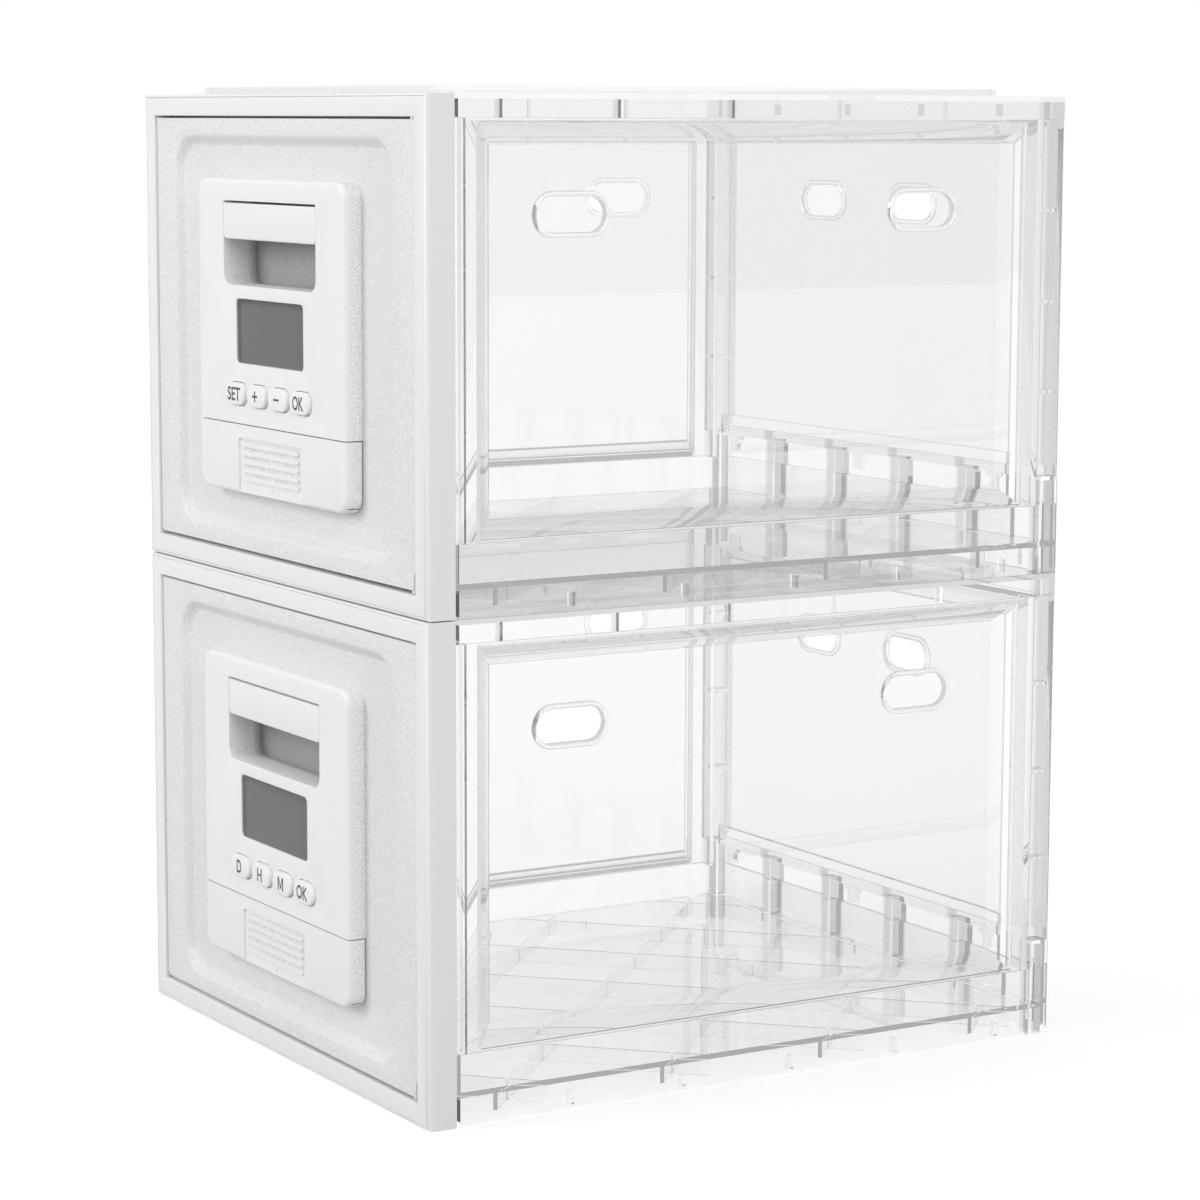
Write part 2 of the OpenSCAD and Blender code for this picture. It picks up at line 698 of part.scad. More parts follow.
module rear_cover() {
    cradle = 5;
    color("white") difference() {
        union() {
            translate([0, 0, door_mid]) difference() {
                along_y(dish_back, rear_y1) module_outline(0);
                along_y(dish_back - 1, rear_y1 - shell_t) module_outline(shell_t);
            }
            for (x = [motor_x0 + 3, motor_x1 - 5])
                block([x, rear_y1 - shell_t - cradle, bolt_z - motor_d / 2 - 2],
                    [x + 2, rear_y1 - 1, bolt_z + motor_d / 2 + 2]);
        }
        translate([motor_x0 - 1, motor_y, bolt_z]) rotate([0, 90, 0])
            cylinder(d = motor_d + 0.6, h = motor_l + 2);
        block([-mod_w / 2 - 1, dish_back - 1, bolt_z - bolt_h / 2 - bolt_play],
            [shell_t + 1 - mod_w / 2, bolt_y + bolt_t + bolt_play, bolt_z + bolt_h / 2 + bolt_play]);
        for (s = [-1, 1], z = [screw_up, screw_low])
            translate([s * screw_x, rear_y1 - shell_t - 1, z])
                rotate([-90, 0, 0]) cylinder(d = screw_d + 0.6, h = shell_t + 2);
    }
}

module cover_screws() {
    head_h = 1.6;
    color("silver") for (s = [-1, 1], z = [screw_up, screw_low])
        translate([s * screw_x, rear_y1, z]) rotate([-90, 0, 0]) {
            difference() {
                cylinder(d = 2 * screw_d, h = head_h);
                for (a = [0, 90]) rotate(a) translate([-1.5, -0.3, head_h - 0.7]) cube([3, 0.6, 1]);
            }
            translate([0, 0, -shell_t - 9]) cylinder(d = screw_d, h = shell_t + 9 + eps);
        }
}

module latch_paddle() {
    half = flap_w / 2;
    spring_room = 9;
    lip_reach = 8.5;
    r = 2;
    color("white") difference() {
        union() {
            along_y(mod_face, mod_face + flap_t) {
                translate([-half, flap_z0 + r]) square([2 * half, flap_h - r]);
                translate([r - half, flap_z0]) square([2 * (half - r), r + eps]);
                for (s = [-1, 1]) translate([s * (half - r), flap_z0 + r]) circle(r);
            }
            block([r - half, mod_face + 1, flap_z0], [half - r, mod_face + lip_reach, flap_z0 + 2.4]);
            translate([-half, flap_pin_y, flap_pin_z]) rotate([0, 90, 0])
                cylinder(d = flap_pin_d + 2.8, h = 2 * half - spring_room);
        }
        translate([-half - 1, flap_pin_y, flap_pin_z]) rotate([0, 90, 0])
            cylinder(d = flap_pin_d + 0.5, h = 2 * half + 2);
        translate([half - spring_room, flap_pin_y, flap_pin_z]) rotate([0, 90, 0])
            cylinder(d = flap_pin_d + 2.4, h = spring_room + 1);
    }
}

module paddle_pin() {
    color("silver") translate([-pocket_x - shell_t, flap_pin_y, flap_pin_z]) rotate([0, 90, 0])
        cylinder(d = flap_pin_d, h = 2 * (pocket_x + shell_t));
}

module paddle_spring() {
    color("silver") translate([flap_w / 2 - 8, flap_pin_y, flap_pin_z]) rotate([0, 90, 0])
        difference() {
            cylinder(d = flap_pin_d + 1.8, h = 7);
            translate([0, 0, -1]) cylinder(d = flap_pin_d + 0.5, h = 9);
        }
}

module display_window() {
    room = 0.25;
    color("lightgray") translate([0, 0, lcd_z]) {
        along_y(pane_y, panel_y) rounded(lcd_w + 2 * lcd_margin, lcd_h + 2 * lcd_margin, 3);
        along_y(mod_face + 0.6, pane_y + eps) rounded(lcd_w - 2 * room, lcd_h - 2 * room, 2.5 - room);
    }
}

module display_panel() {
    color("slategray") translate([0, 0, lcd_z]) along_y(panel_y, panel_y + panel_t)
        square([lcd_w + 2 * lcd_margin, lcd_h + 2 * lcd_margin], center = true);
}

// Moves one of the four buttons to its place in the row.
module key_place(n) {
    translate([(n - 1.5) * key_pitch, 0, key_z]) children();
}

module button(n) {
    ledge_t = 1.2;
    color("white") key_place(n) {
        along_y(key_face, mod_skin + eps) pill(key_l, key_h);
        along_y(mod_skin, mod_skin + ledge_t) pill(key_l + 2 * key_ledge, key_h + 2 * key_ledge);
        along_y(mod_skin + ledge_t - eps, mat_y - key_travel - 0.2) pill(8, 5);
    }
}

module button_mat() {
    color("dimgray") translate([0, 0, key_z]) along_y(mat_y, board_y)
        rounded(3 * key_pitch + key_l, key_h + 2, 2);
}

module circuit_board() {
    back = board_y + board_t;
    color("green") union() {
        block([-board_x, board_y, board_low], [board_x, back, board_top]);
        block([20, back - eps, board_low + 22], [34, back + 1.4, board_low + 36]);
        block([40, back - eps, board_low + 10], [52, back + 4, board_low + 18]);
        translate([28, back - eps, board_low + 10]) rotate([-90, 0, 0]) cylinder(d = 6, h = 7);
    }
}

module battery_cover() {
    lip_y0 = rail_y + rail_t + play;
    lip_y1 = dish_front - play;
    lip_x = mod_w / 2 - shell_t - 2;
    side = mod_w / 2 - shell_t;
    pitch = (grip_h - 6) / grip_ribs;
    color("white") {
        difference() {
            intersection() {
                module_block(lip_y1);
                block([-mod_w, mod_face - 1, mod_z0 - 1], [mod_w, dish_front, cover_z1]);
            }
            block([-side, mod_skin, mod_z0 + shell_t], [side, dish_front, cover_z1 + 1]);
            along_y(mod_face - 1, mod_face + grip_d) {
                translate([-grip_w / 2, mod_z0 - 1]) square([grip_w, grip_h - 1]);
                translate([2 - grip_w / 2, mod_z0]) square([grip_w - 4, grip_h]);
                for (s = [-1, 1]) translate([s * (grip_w / 2 - 2), mod_z0 + grip_h - 2]) circle(2);
            }
        }
        for (s = [-1, 1])
            block([s * (lip_x + 1.1) - 1.1, lip_y0, mod_z0 + 4], [s * (lip_x + 1.1) + 1.1, lip_y1, cover_z1 - 1]);
        for (k = [0:grip_ribs - 1]) translate([0, 0, mod_z0 + 5 + k * pitch])
            along_y(mod_face + 0.1, mod_face + grip_d + eps)
                translate([0, pitch / 2]) pill(grip_w - 10, pitch * 0.5);
    }
}

module battery_cells() {
    nub = 1;
    color("orange") for (s = [-0.5, 0.5], x = [-cell_l, 0.2])
        translate([x, cell_y, bay_z + s * bay_pitch]) rotate([0, 90, 0]) {
            cylinder(d = cell_d, h = cell_l - nub - 0.2);
            cylinder(d = cell_d / 2.6, h = cell_l - 0.2);
        }
}

module battery_contacts() {
    color("silver") for (s = [-1, 1])
        block([s * (bay_x - 0.25) - 0.25, rail_y + 1, bay_z - bay_half + 1],
            [s * (bay_x - 0.25) + 0.25, bay_floor - 0.5, bay_z + bay_half - 1]);
}

module lock_bolt() {
    color("silver") difference() {
        union() {
            block([-bolt_tip, bolt_y, bolt_z - bolt_h / 2], [-bolt_root, bolt_y + bolt_t, bolt_z + bolt_h / 2]);
            block([-bolt_root - 4, bolt_y, bolt_z - bolt_h / 2], [-bolt_root, motor_y + 3.5, bolt_z + bolt_h / 2]);
        }
        translate([-bolt_root - 6, motor_y, bolt_z]) rotate([0, 90, 0])
            cylinder(d = shaft_d + 2 * pin_play, h = 8);
    }
}

module bolt_guide() {
    half = bolt_h / 2 + bolt_play;
    bridge_y = bolt_y + bolt_t + bolt_play;
    x0 = -dish_w / 2 + 2;
    color("gray") difference() {
        block([x0, dish_back, bolt_z - half - 3], [x0 + 18, bridge_y + 2, bolt_z + half + 3]);
        block([x0 - 1, dish_back - 1, bolt_z - half], [x0 + 19, bridge_y, bolt_z + half]);
    }
}

module lock_motor() {
    shaft_end = mod_w / 2 - shell_t - 3;
    color("darkgray") translate([0, motor_y, bolt_z]) {
        translate([motor_x0, 0, 0]) rotate([0, 90, 0]) cylinder(d = motor_d, h = motor_l);
        translate([-shaft_end, 0, 0]) rotate([0, 90, 0])
            cylinder(d = shaft_d, h = motor_x0 + shaft_end + eps);
    }
}

tier(0) front_frame();  // lower_front_frame
tier(0) base_tray();  // lower_base_tray
tier(0) top_cover();  // lower_top_cover
tier(0) mirror([1, 0, 0]) side_panel();  // lower_side_panel_left
tier(0) side_panel();  // lower_side_panel_right
tier(0) back_panel();  // lower_back_panel
tier(0) hinge_pins();  // lower_hinge_pins
tier(0) strike_plate();  // lower_strike_plate
tier(0) door_panel();  // lower_door_panel
tier(0) control_housing();  // lower_control_housing
tier(0) latch_paddle();  // lower_latch_paddle
tier(0) paddle_pin();  // lower_paddle_pin
tier(0) paddle_spring();  // lower_paddle_spring
tier(0) display_window();  // lower_display_window
tier(0) display_panel();  // lower_display_panel
tier(0) button(0);  // lower_button_day
tier(0) button(1);  // lower_button_hour
tier(0) button(2);  // lower_button_minute
tier(0) button(3);  // lower_button_ok
tier(0) button_mat();  // lower_button_mat
tier(0) circuit_board();  // lower_circuit_board
tier(0) battery_cover();  // lower_battery_cover
tier(0) battery_cells();  // lower_battery_cells
tier(0) battery_contacts();  // lower_battery_contacts
tier(0) rear_cover();  // lower_rear_cover
tier(0) bolt_guide();  // lower_bolt_guide
tier(0) lock_bolt();  // lower_lock_bolt
tier(0) lock_motor();  // lower_lock_motor
tier(0) cover_screws();  // lower_cover_screws
tier(1) front_frame();  // upper_front_frame
tier(1) base_tray();  // upper_base_tray
tier(1) top_cover();  // upper_top_cover
tier(1) mirror([1, 0, 0]) side_panel();  // upper_side_panel_left
tier(1) side_panel();  // upper_side_panel_right
tier(1) back_panel();  // upper_back_panel
tier(1) hinge_pins();  // upper_hinge_pins
tier(1) strike_plate();  // upper_strike_plate
tier(1) door_panel();  // upper_door_panel
tier(1) control_housing();  // upper_control_housing
tier(1) latch_paddle();  // upper_latch_paddle
tier(1) paddle_pin();  // upper_paddle_pin
tier(1) paddle_spring();  // upper_paddle_spring
tier(1) display_window();  // upper_display_window
tier(1) display_panel();  // upper_display_panel
tier(1) button(0);  // upper_button_set
tier(1) button(1);  // upper_button_plus
tier(1) button(2);  // upper_button_minus
tier(1) button(3);  // upper_button_ok
tier(1) button_mat();  // upper_button_mat
tier(1) circuit_board();  // upper_circuit_board
tier(1) battery_cover();  // upper_battery_cover
tier(1) battery_cells();  // upper_battery_cells
tier(1) battery_contacts();  // upper_battery_contacts
tier(1) rear_cover();  // upper_rear_cover
tier(1) bolt_guide();  // upper_bolt_guide
tier(1) lock_bolt();  // upper_lock_bolt
tier(1) lock_motor();  // upper_lock_motor
tier(1) cover_screws();  // upper_cover_screws
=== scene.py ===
import json
import math
import bmesh
import bpy
import numpy as np
from mathutils import Matrix, Vector
from mathutils.geometry import delaunay_2d_cdt

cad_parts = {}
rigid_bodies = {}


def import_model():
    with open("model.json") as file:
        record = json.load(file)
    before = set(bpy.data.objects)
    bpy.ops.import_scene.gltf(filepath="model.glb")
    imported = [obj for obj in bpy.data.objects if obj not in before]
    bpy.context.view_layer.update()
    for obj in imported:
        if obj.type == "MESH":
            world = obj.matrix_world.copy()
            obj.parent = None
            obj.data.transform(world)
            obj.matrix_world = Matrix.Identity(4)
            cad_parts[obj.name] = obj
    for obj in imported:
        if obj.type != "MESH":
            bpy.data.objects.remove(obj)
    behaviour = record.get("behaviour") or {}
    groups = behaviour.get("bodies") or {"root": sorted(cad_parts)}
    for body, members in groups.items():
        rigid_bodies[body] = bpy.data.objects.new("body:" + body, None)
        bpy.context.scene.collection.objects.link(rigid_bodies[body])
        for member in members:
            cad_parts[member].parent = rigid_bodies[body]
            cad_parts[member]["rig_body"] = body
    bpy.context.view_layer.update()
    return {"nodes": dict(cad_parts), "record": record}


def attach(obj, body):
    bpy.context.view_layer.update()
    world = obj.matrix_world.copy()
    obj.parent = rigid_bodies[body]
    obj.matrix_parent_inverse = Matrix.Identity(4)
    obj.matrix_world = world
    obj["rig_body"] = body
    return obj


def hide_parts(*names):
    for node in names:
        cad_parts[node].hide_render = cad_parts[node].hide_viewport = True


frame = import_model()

mm = 0.001
tiers = ("lower", "upper")
unit = {"depthMiddle": 163.05, "pitch": 220.0, "doorMiddle": 110.35, "moduleFace": -3.7}
near = 0.01


# Lengths below are in millimetres, measured in one box: X from its middle,
# Y back from the frame's face, Z up from the box's underside.

def shift(tier):
    return np.array([0, -unit["depthMiddle"], tiers.index(tier) * unit["pitch"]])


def toRow(points, tier):
    # row = (x, y - depthMiddle, z + tier * pitch) / 1000
    return (np.asarray(points, float) + shift(tier)) * mm


def toward(v):
    return v / np.maximum(np.linalg.norm(v, axis=-1, keepdims=True), 1e-9)


def inward(ring):
    # (n1 + n2) / (1 + n1.n2) at each corner of an anticlockwise ring, n1 and n2 being the
    # inward normals of the sides that meet there
    along = toward(np.roll(ring, -1, 0) - ring)
    before = np.roll(along, 1, 0)
    miter = np.stack([-(along + before)[:, 1], (along + before)[:, 0]], -1)
    return miter / (1 + (along * before).sum(1, keepdims=True)), before, along


def rounded(points, steps=6, closed=True):
    # Rows of (u, v, r). Each corner p between the ways a and b becomes an arc of radius r
    # around c = p + (a + b) / |a + b| * r / sin(half the angle between them).
    points = np.asarray(points, float)
    corner, r = points[:, None, :2], np.maximum(points[:, None, 2:], 1e-3)
    a = toward(np.roll(corner, 1, 0) - corner)
    b = toward(np.roll(corner, -1, 0) - corner)
    half = np.arccos(np.clip((a * b).sum(-1, keepdims=True), -1, 1)) / 2
    reach = r / np.tan(half)
    centre = corner + toward(a + b) * r / np.sin(half)
    u, v = (corner + a * reach - centre) / r, (corner + b * reach - centre) / r
    turn = np.arccos(np.clip((u * v).sum(-1, keepdims=True), -1, 1))
    s = np.linspace(0, 1, steps)[None, :, None]
    arcs = centre + r * (np.sin((1 - s) * turn) * u + np.sin(s * turn) * v) / np.sin(turn)
    if closed:
        return arcs.reshape(-1, 2)
    return np.concatenate([points[:1, :2], arcs[1:-1].reshape(-1, 2), points[-1:, :2]])


def box(x0, x1, z0, z1, r):
    # corners of a rectangle, anticlockwise, with the radius r
    return [(x1, z0, r), (x1, z1, r), (x0, z1, r), (x0, z0, r)]


def outline(corners, inset=0.0, steps=6):
    # Each corner moves inwards by inset * inward, and its radius shrinks as much.
    corners = np.asarray(corners, float)
    miter, before, along = inward(corners[:, :2])
    bend = np.sign(before[:, 0] * along[:, 1] - before[:, 1] * along[:, 0])
    radius = np.maximum(corners[:, 2] - inset * bend, 0.05)
    return rounded(np.column_stack([corners[:, :2] + inset * miter, radius]), steps)


def atDepth(ring, y):
    # stands a flat ring of X and Z upright at the depth y
    return np.column_stack([ring[:, 0], np.full(len(ring), y), ring[:, 1]])


def skin(rings):
    # surface s(i, j) through closed rings of equal counts
    grid = np.stack(rings)
    k, n = grid.shape[:2]
    i, j = np.meshgrid(np.arange(k - 1), np.arange(n), indexing="ij")
    right = (j + 1) % n
    quads = np.stack([i * n + j, i * n + right, (i + 1) * n + right, (i + 1) * n + j], -1)
    return grid.reshape(-1, 3), quads.reshape(-1, 4).tolist()


def tube(corners, profile, steps=6):
    # the outline inset by profile[i][0] at the depth profile[i][1]
    return skin([atDepth(outline(corners, inset, steps), y) for inset, y in profile])


def plate(loops, y):
    # flat surface at the depth y inside the anticlockwise loops and outside the clockwise ones
    points = np.concatenate(loops)
    ends = np.cumsum([len(loop) for loop in loops])
    edges, filled = [], []
    for loop, end in zip(loops, ends):
        k = np.arange(len(loop))
        edges += np.stack([end - len(loop) + k, end - len(loop) + (k + 1) % len(loop)], -1).tolist()
        if area(loop) > 0:
            filled.append((end - len(loop) + k).tolist())
    flat, _, tris, *_ = delaunay_2d_cdt([Vector(p) for p in points], edges, filled, 2, 1e-7)
    return atDepth(np.array([tuple(p) for p in flat]), y), [list(t) for t in tris]


def lid(corners, inset, y, steps=6):
    # flat end of a tube
    ring = atDepth(outline(corners, inset, steps), y)
    return ring, [list(range(len(ring)))]


def joined(parts):
    # (points, faces) of several parts as one
    starts = np.cumsum([0] + [len(p) for p, _ in parts])
    faces = [[i + int(start) for i in face] for start, (_, part) in zip(starts, parts)
             for face in part]
    return np.concatenate([p for p, _ in parts]), faces


def build(name, parts, finish, body, tier, sharp=40):
    # puts the parts into one welded mesh in the row frame, with its faces outwards
    points, faces = joined(parts)
    mesh = bpy.data.meshes.new(name)
    mesh.from_pydata(toRow(points, tier).tolist(), [], faces)
    bm = bmesh.new()
    bm.from_mesh(mesh)
    bmesh.ops.remove_doubles(bm, verts=bm.verts, dist=0.003 * mm)
    bmesh.ops.recalc_face_normals(bm, faces=bm.faces)
    bm.to_mesh(mesh)
    bm.free()
    return place(name, mesh, finish, body, sharp)


def place(name, mesh, finish, body, sharp=40):
    # finish is the record's material slot
    mesh.shade_smooth()
    mesh.set_sharp_from_angle(angle=math.radians(sharp))
    mesh.materials.clear()
    mesh.materials.append(finishes[finish])
    piece = bpy.data.objects.new(name, mesh)
    bpy.context.scene.collection.objects.link(piece)
    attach(piece, body)
    return piece


def shapeOf(name, tier):
    # points and triangles of a CAD node, its loose triangles joined
    bm = bmesh.new()
    bm.from_mesh(frame["nodes"][name].data)
    bmesh.ops.remove_doubles(bm, verts=bm.verts, dist=0.002 * mm)
    points = np.array([v.co for v in bm.verts]) / mm - shift(tier)
    tris = np.array([[v.index for v in f.verts] for f in bm.faces])
    bm.free()
    return points, tris


def area(ring):
    # positive where the ring runs anticlockwise
    after = np.roll(ring, -1, 0)
    return (ring[:, 0] * after[:, 1] - ring[:, 1] * after[:, 0]).sum() / 2


def cut(points, tris, gone):
    # The triangles that stay, and the loops around the gap: the edges that only one lost
    # triangle has, followed round. The gap lies to the left of a loop, and the widest is first.
    known = set(map(tuple, tris[gone][:, [[0, 1], [1, 2], [2, 0]]].reshape(-1, 2)))
    follow = {a: b for a, b in known if (b, a) not in known}
    loops = []
    while follow:
        loop = [next(iter(follow))]
        while loop[-1] in follow:
            loop.append(follow.pop(loop[-1]))
        loops.append(loop[:-1])
    return tris[~gone], sorted(loops, key=lambda loop: -np.ptp(points[loop], axis=0).sum())


def softRim(points, loop, radius, steps=4):
    # The wall behind the loop is cut back by the radius, and a quarter circle joins it to the
    # flat: inset r (1 - cos t), depth r (1 - sin t).
    ring = points[loop][:, [0, 2]]
    y = points[loop[0], 1]
    points[loop, 1] += radius
    turn = np.linspace(0, math.pi / 2, steps)
    rings = [ring + inward(ring)[0] * radius * (1 - math.cos(t)) for t in turn]
    depths = y + radius * (1 - np.sin(turn))
    return skin([atDepth(*pair) for pair in zip(rings, depths)]), rings[-1]


def softened(name, finish, fronts, quarters=0):
    # A CAD node's shape with the edges of its flat fronts rounded over. The fronts are rows of
    # depth, radius and whether their own border is rounded too, after the quarter turns about Z
    # that bring them to face forwards.
    tier = name.split("_")[0]
    points, tris = shapeOf(name, tier)
    turn = np.array(Matrix.Rotation(quarters * math.pi / 2, 3, "Z"))
    points = points @ turn.T
    parts = []
    for y, radius, border in fronts:
        tris, loops = cut(points, tris, (abs(points[tris][..., 1] - y) < near).all(1))
        rings = []
        for loop in loops:
            if loop is loops[0] and not border:
                rings.append(points[loop][:, [0, 2]])
                continue
            rim, ring = softRim(points, loop, radius)
            parts.append(rim)
            rings.append(ring)
        parts.append(plate(rings, y))
    parts.append((points, tris.tolist()))
    return shaped(name, [(p @ turn, faces) for p, faces in parts], finish, tier)


def shaped(name, parts, finish, tier, sharp=40):
    piece = build(name + "_shape", parts, finish, frame["nodes"][name]["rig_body"], tier, sharp)
    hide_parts(name)
    return piece


def welded(name, finish):
    # a CAD node's own shape with its round faces shaded as one surface
    tier = name.split("_")[0]
    points, tris = shapeOf(name, tier)
    return shaped(name, [(points, tris.tolist())], finish, tier)


def put(tree, socket, value):
    # value is a number, a colour or the socket of another node
    if isinstance(value, bpy.types.NodeSocket):
        tree.links.new(value, socket)
    else:
        socket.default_value = value


def node(tree, kind, **sockets):
    made = tree.nodes.new(kind)
    for name, value in sockets.items():
        put(tree, made.inputs[name.replace("_", " ")], value)
    return made


def calc(tree, operation, *values):
    # result of one operation on the values
    made = tree.nodes.new("ShaderNodeMath")
    made.operation = operation
    for socket, value in zip(made.inputs, values):
        put(tree, socket, value)
    return made.outputs[0]


def scaled(tree, color, share):
    # color * share
    made = tree.nodes.new("ShaderNodeVectorMath")
    made.operation = "SCALE"
    put(tree, made.inputs[0], color)
    put(tree, made.inputs["Scale"], share)
    return made.outputs[0]


def mixed(tree, share, first, second):
    # first * (1 - share) + second * share
    made = tree.nodes.new("ShaderNodeMixShader")
    for socket, value in zip(made.inputs, (share, first.outputs[0], second.outputs[0])):
        put(tree, socket, value)
    return made


def newMaterial(name):
    material = bpy.data.materials.new(name)
    material.use_nodes = True
    return material, material.node_tree, material.node_tree.nodes["Principled BSDF"]


grainAndShadeLook = {"detail": 2.0, "roughness": 0.6, "low": 0.35, "high": 0.65, "broadScale": 9.0,
             "broadLow": 0.3, "broadHigh": 0.7, "sleek": 0.36, "dull": 0.46, "height": 0.05,
             "pocketShadeFrom": 12.0, "pocketShadeTo": 17.0}


def grainAndShadeGroup():
    # Moulded grain: fine noise gives the height and a faint tone that varies at random, broad noise
    # the roughness.
    # Between pocketShadeFrom and pocketShadeTo behind the module's face the colour falls to the
    # share Pocket Shade: painted shade in the pocket.
    group = bpy.data.node_groups.new("mouldedGrainAndPaintedShade", "ShaderNodeTree")
    for name, way, kind in (("Color", "INPUT", "Color"), ("Scale", "INPUT", "Float"),
                            ("Shade", "INPUT", "Float"), ("Smooth Before", "INPUT", "Float"),
                            ("Pocket Shade", "INPUT", "Float"), ("Color", "OUTPUT", "Color"),
                            ("Height", "OUTPUT", "Float"), ("Roughness", "OUTPUT", "Float")):
        group.interface.new_socket(name, in_out=way, socket_type="NodeSocket" + kind)
    given = group.nodes.new("NodeGroupInput").outputs
    result = group.nodes.new("NodeGroupOutput").inputs
    here = group.nodes.new("ShaderNodeTexCoord").outputs["Object"]
    fine = node(group, "ShaderNodeTexNoise", Vector=here, Scale=given["Scale"],
                Detail=grainAndShadeLook["detail"], Roughness=grainAndShadeLook["roughness"])
    broad = node(group, "ShaderNodeTexNoise", Vector=here, Scale=grainAndShadeLook["broadScale"],
                 Detail=grainAndShadeLook["detail"])
    spread = node(group, "ShaderNodeMapRange", Value=fine.outputs["Fac"], To_Min=-1.0, To_Max=1.0,
                  From_Min=grainAndShadeLook["low"], From_Max=grainAndShadeLook["high"])
    depth = node(group, "ShaderNodeSeparateXYZ", Vector=here).outputs["Y"]
    grainy = calc(group, "MULTIPLY", spread.outputs["Result"],
                  calc(group, "GREATER_THAN", depth, given["Smooth Before"]))
    start = unit["moduleFace"] - unit["depthMiddle"]
    pocketShadeFall = node(group, "ShaderNodeMapRange", Value=depth, To_Min=1.0, To_Max=given["Pocket Shade"],
                From_Min=(start + grainAndShadeLook["pocketShadeFrom"]) * mm,
                From_Max=(start + grainAndShadeLook["pocketShadeTo"]) * mm)
    share = calc(group, "MULTIPLY", calc(group, "MULTIPLY_ADD", grainy, given["Shade"], 1.0),
                 pocketShadeFall.outputs["Result"])
    rough = node(group, "ShaderNodeMapRange", Value=broad.outputs["Fac"],
                 From_Min=grainAndShadeLook["broadLow"], From_Max=grainAndShadeLook["broadHigh"],
                 To_Min=grainAndShadeLook["sleek"], To_Max=grainAndShadeLook["dull"])
    put(group, result["Color"], scaled(group, given["Color"], share))
    put(group, result["Height"], grainy)
    put(group, result["Roughness"], rough.outputs["Result"])
    return group


# one group gives both the moulded grain and the painted shade of the pocket
grainAndShade = grainAndShadeGroup()


def plastic(name, color, scale, shade, bump, smoothBefore=-1.0, pocketShade=1.0):
    material, tree, shader = newMaterial(name)
    group = tree.nodes.new("ShaderNodeGroup")
    group.node_tree = grainAndShade
    for socket, value in (("Color", (*color, 1)), ("Scale", scale), ("Shade", shade),
                          ("Smooth Before", smoothBefore), ("Pocket Shade", pocketShade)):
        put(tree, group.inputs[socket], value)
    lift = node(tree, "ShaderNodeBump", Height=group.outputs["Height"], Strength=bump,
                Distance=grainAndShadeLook["height"] * mm)
    put(tree, shader.inputs["Base Color"], group.outputs["Color"])
    put(tree, shader.inputs["Roughness"], group.outputs["Roughness"])
    put(tree, shader.inputs["Normal"], lift.outputs["Normal"])
    return material


# Where clear plastic is shaded: behind the depth "from", where the steps on X give one. The rear
# wall's ribs: |fract(x / 54.6 + 0.5) - 0.5| > 0.434, and the corner posts: |x| > 131.
ribShade = {"from": 320.3, "share": 0.7,
            "steps": (("MULTIPLY", 1 / (54.6 * mm)), ("ADD", 0.5), ("FRACT",), ("SUBTRACT", 0.5),
                      ("ABSOLUTE",), ("GREATER_THAN", 0.434))}
postShade = {"from": 318.0, "share": 0.88, "steps": (("ABSOLUTE",), ("GREATER_THAN", 131 * mm))}


def shaded(tree, here, color, where):
    # the colour, scaled by the share where the steps give one
    axes = node(tree, "ShaderNodeSeparateXYZ", Vector=here)
    last = axes.outputs["X"]
    for operation, *values in where["steps"]:
        last = calc(tree, operation, last, *values)
    behind = calc(tree, "GREATER_THAN", axes.outputs["Y"],
                  (where["from"] - unit["depthMiddle"]) * mm)
    share = node(tree, "ShaderNodeMapRange", Value=calc(tree, "MULTIPLY", last, behind),
                 To_Min=1.0, To_Max=where["share"])
    return scaled(tree, color, share.outputs["Result"])


clearLook = {"flowScale": 14.0, "flowDetail": 2.0, "flowStrength": 0.04, "flowDepth": 0.4,
             "index": 1.49, "shadow": 0.9, "latest": (("Ray Depth", 10.5), ("Glossy Depth", 3.5))}


def clearPlastic(name, color, edgeColor, lostGlow=0.6, where=None):
    # It refracts, is darker where it is seen aslant, lets most of the light through to what
    # stands behind it, and glows a plain grey for a ray that has been thrown about inside it:
    # painted light in place of what that ray would bring.
    material, tree, shader = newMaterial(name)
    here = tree.nodes.new("ShaderNodeTexCoord").outputs["Object"]
    flow = node(tree, "ShaderNodeTexNoise", Vector=here, Scale=clearLook["flowScale"],
                Detail=clearLook["flowDetail"])
    wave = node(tree, "ShaderNodeBump", Height=flow.outputs["Fac"],
                Strength=clearLook["flowStrength"], Distance=clearLook["flowDepth"] * mm)
    tint = tree.nodes.new("ShaderNodeMix")
    tint.data_type = "RGBA"
    put(tree, tint.inputs["A"], (*color, 1))
    put(tree, tint.inputs["B"], (*edgeColor, 1))
    aslant = node(tree, "ShaderNodeLayerWeight", Blend=0.5)
    put(tree, tint.inputs["Factor"], aslant.outputs["Facing"])
    base = tint.outputs["Result"]
    if where:
        base = shaded(tree, here, base, where)
    put(tree, shader.inputs["Base Color"], base)
    put(tree, shader.inputs["Normal"], wave.outputs["Normal"])
    shader.inputs["Roughness"].default_value = 0.0
    shader.inputs["IOR"].default_value = clearLook["index"]
    shader.inputs["Transmission Weight"].default_value = 1.0
    path = tree.nodes.new("ShaderNodeLightPath").outputs
    through = node(tree, "ShaderNodeBsdfTransparent", Color=(*[clearLook["shadow"]] * 3, 1))
    late = calc(tree, "MAXIMUM", *[calc(tree, "GREATER_THAN", path[output], most)
                                   for output, most in clearLook["latest"]])
    # the grey emission is a painted glow, not a lamp
    last = mixed(tree, late, mixed(tree, path["Is Shadow Ray"], shader, through),
                 node(tree, "ShaderNodeEmission", Color=(lostGlow, lostGlow, lostGlow, 1)))
    put(tree, tree.nodes["Material Output"].inputs["Surface"], last.outputs[0])
    return material


streaks = {"scale": 900.0, "detail": 3.0, "spread": 0.08}


